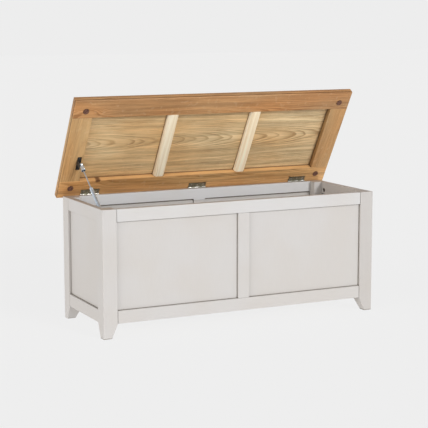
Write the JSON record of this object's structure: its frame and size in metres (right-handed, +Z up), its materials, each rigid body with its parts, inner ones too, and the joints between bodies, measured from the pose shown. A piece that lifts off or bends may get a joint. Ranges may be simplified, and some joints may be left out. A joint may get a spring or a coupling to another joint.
{
  "type": "storage bench",
  "caption": "Long storage bench: a painted frame-and-panel chest on tapered feet, with a hinged oak seat lid that a gas stay holds open over the storage space.",
  "frame": {"origin": "on the floor, under the middle of the bench's overall box as it stands with its lid open", "axes": "+X along the bench to its right end as one faces the front, +Y from the front to the back, +Z up"},
  "size_m": [1.1, 0.4163, 0.8049],
  "materials": {
    "case_paint": "satin stone-white paint",
    "lid_oak": "satin clear lacquer",
    "cleat_pine": "bare planed softwood",
    "bumper": "matt",
    "hinge_steel": "dull plated",
    "zinc": "bright zinc",
    "black_paint": "satin black",
    "stay_silver": "satin silver lacquer",
    "rod_chrome": "polished",
    "guide_plastic": "matt"
  },
  "bodies": {
    "case": {"back_bottom_rail": "case_paint", "back_centre_stile": "case_paint", "back_panel_left": "case_paint", "back_panel_right": "case_paint", "back_top_rail": "case_paint", "cam_bolts": "zinc", "cam_locks": "zinc", "floor_batten_back": "cleat_pine", "floor_batten_front": "cleat_pine", "floor_batten_left": "cleat_pine", "floor_batten_right": "cleat_pine", "floor_board": "case_paint", "front_bottom_rail": "case_paint", "front_centre_stile": "case_paint", "front_panel_left": "case_paint", "front_panel_right": "case_paint", "front_top_rail": "case_paint", "hinge_case_leaf_centre": "hinge_steel", "hinge_case_leaf_left": "hinge_steel", "hinge_case_leaf_right": "hinge_steel", "hinge_case_screws": "hinge_steel", "hinge_pin_centre": "hinge_steel", "hinge_pin_left": "hinge_steel", "hinge_pin_right": "hinge_steel", "left_bottom_rail": "case_paint", "left_end_panel": "case_paint", "left_top_rail": "case_paint", "post_back_left": "case_paint", "post_back_right": "case_paint", "post_front_left": "case_paint", "post_front_right": "case_paint", "right_bottom_rail": "case_paint", "right_end_panel": "case_paint", "right_top_rail": "case_paint", "stay_case_ball": "zinc", "stay_case_bracket": "zinc", "stay_case_screws": "zinc"},
    "lid": {"lid_front_rail": "lid_oak", "lid_rear_rail": "lid_oak", "lid_left_stile": "lid_oak", "lid_right_stile": "lid_oak", "lid_panel": "lid_oak", "lid_cleat_left": "cleat_pine", "lid_cleat_right": "cleat_pine", "lid_bumpers": "bumper", "hinge_lid_leaf_left": "hinge_steel", "hinge_lid_leaf_centre": "hinge_steel", "hinge_lid_leaf_right": "hinge_steel", "hinge_lid_screws": "hinge_steel", "stay_lid_bracket": "black_paint", "stay_lid_screws": "black_paint"},
    "stay_tube": {"stay_lower_socket": "zinc", "stay_cylinder": "stay_silver", "stay_rod_guide": "guide_plastic"},
    "stay_piston_rod": {"stay_upper_socket": "zinc", "stay_rod": "rod_chrome", "stay_piston": "rod_chrome", "stay_lid_ball": "zinc"}
  },
  "joints": [
    {"name": "lid_hinge", "type": "hinge", "parent": "case", "child": "lid", "pos_m": [0, 0.179, 0.4425], "axis": [1, 0, 0], "range_deg": [0, 59]},
    {"name": "stay_swing", "type": "hinge", "parent": "case", "child": "stay_tube", "pos_m": [-0.49, -0.115, 0.4045], "axis": [1, 0, 0], "range_deg": [-28.58, 0]},
    {"name": "stay_slide", "type": "slide", "parent": "stay_tube", "child": "stay_piston_rod", "axis": [0, 0.7958, 0.6056], "range_m": [-0.10895, 0], "stiffness_N_per_m": 150, "springref_m": 0.5333}
  ],
  "couplings": [
    {"joint": "stay_swing", "follows": "lid_hinge", "ratio": -0.48426},
    {"joint": "stay_slide", "follows": "lid_hinge", "m_per_rad": -0.10576}
  ]
}
